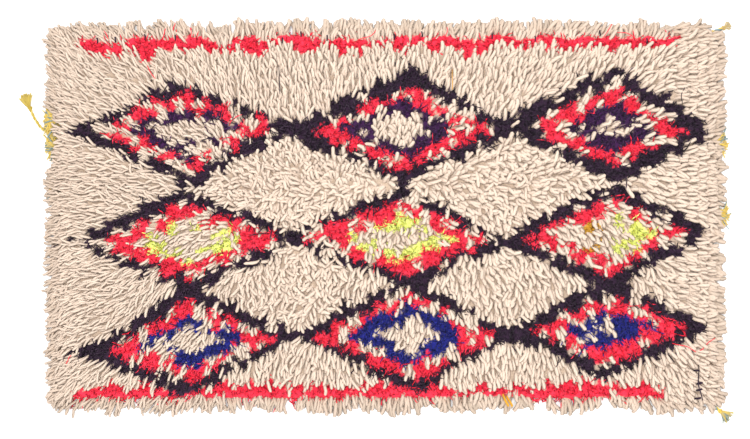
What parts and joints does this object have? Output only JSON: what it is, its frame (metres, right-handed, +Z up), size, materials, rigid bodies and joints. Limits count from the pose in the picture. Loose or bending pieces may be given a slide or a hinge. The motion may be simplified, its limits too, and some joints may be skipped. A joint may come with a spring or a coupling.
{
  "type": "shag rug",
  "caption": "Hand-knotted shag rug lying flat: long cream yarn pile with a field of coloured lozenges, locks at its rim, twined ends and small tassels.",
  "frame": {"origin": "middle of the woven ground's underside, on the floor", "axes": "+X along the rug's length, +Y across it towards the far side of the pattern, +Z up through the pile"},
  "size_m": [1.5762, 0.8954, 0.039],
  "materials": {
    "cream_pile": "soft matt cotton yarn, plied, in long loops",
    "black_pile": "matt fuzzy wool, cut tufts",
    "red_pile": "matt fuzzy wool, cut tufts",
    "purple_pile": "matt fuzzy wool, cut tufts",
    "lime_pile": "matt fuzzy wool, cut tufts",
    "blue_pile": "matt fuzzy wool, cut tufts",
    "ground_weave": "dense matt plain weave",
    "end_twining": "matt twined wool yarn, yellow with blue",
    "yellow_yarn": "matt loose wool yarn, frayed"
  },
  "bodies": {
    "root": {"pile": "cream_pile", "end_twining_left": "end_twining", "end_twining_right": "end_twining", "loose_yarn_left": "yellow_yarn", "corner_tassel_far_right": "yellow_yarn", "corner_tassel_near_right": "yellow_yarn"}
  },
  "joints": []
}
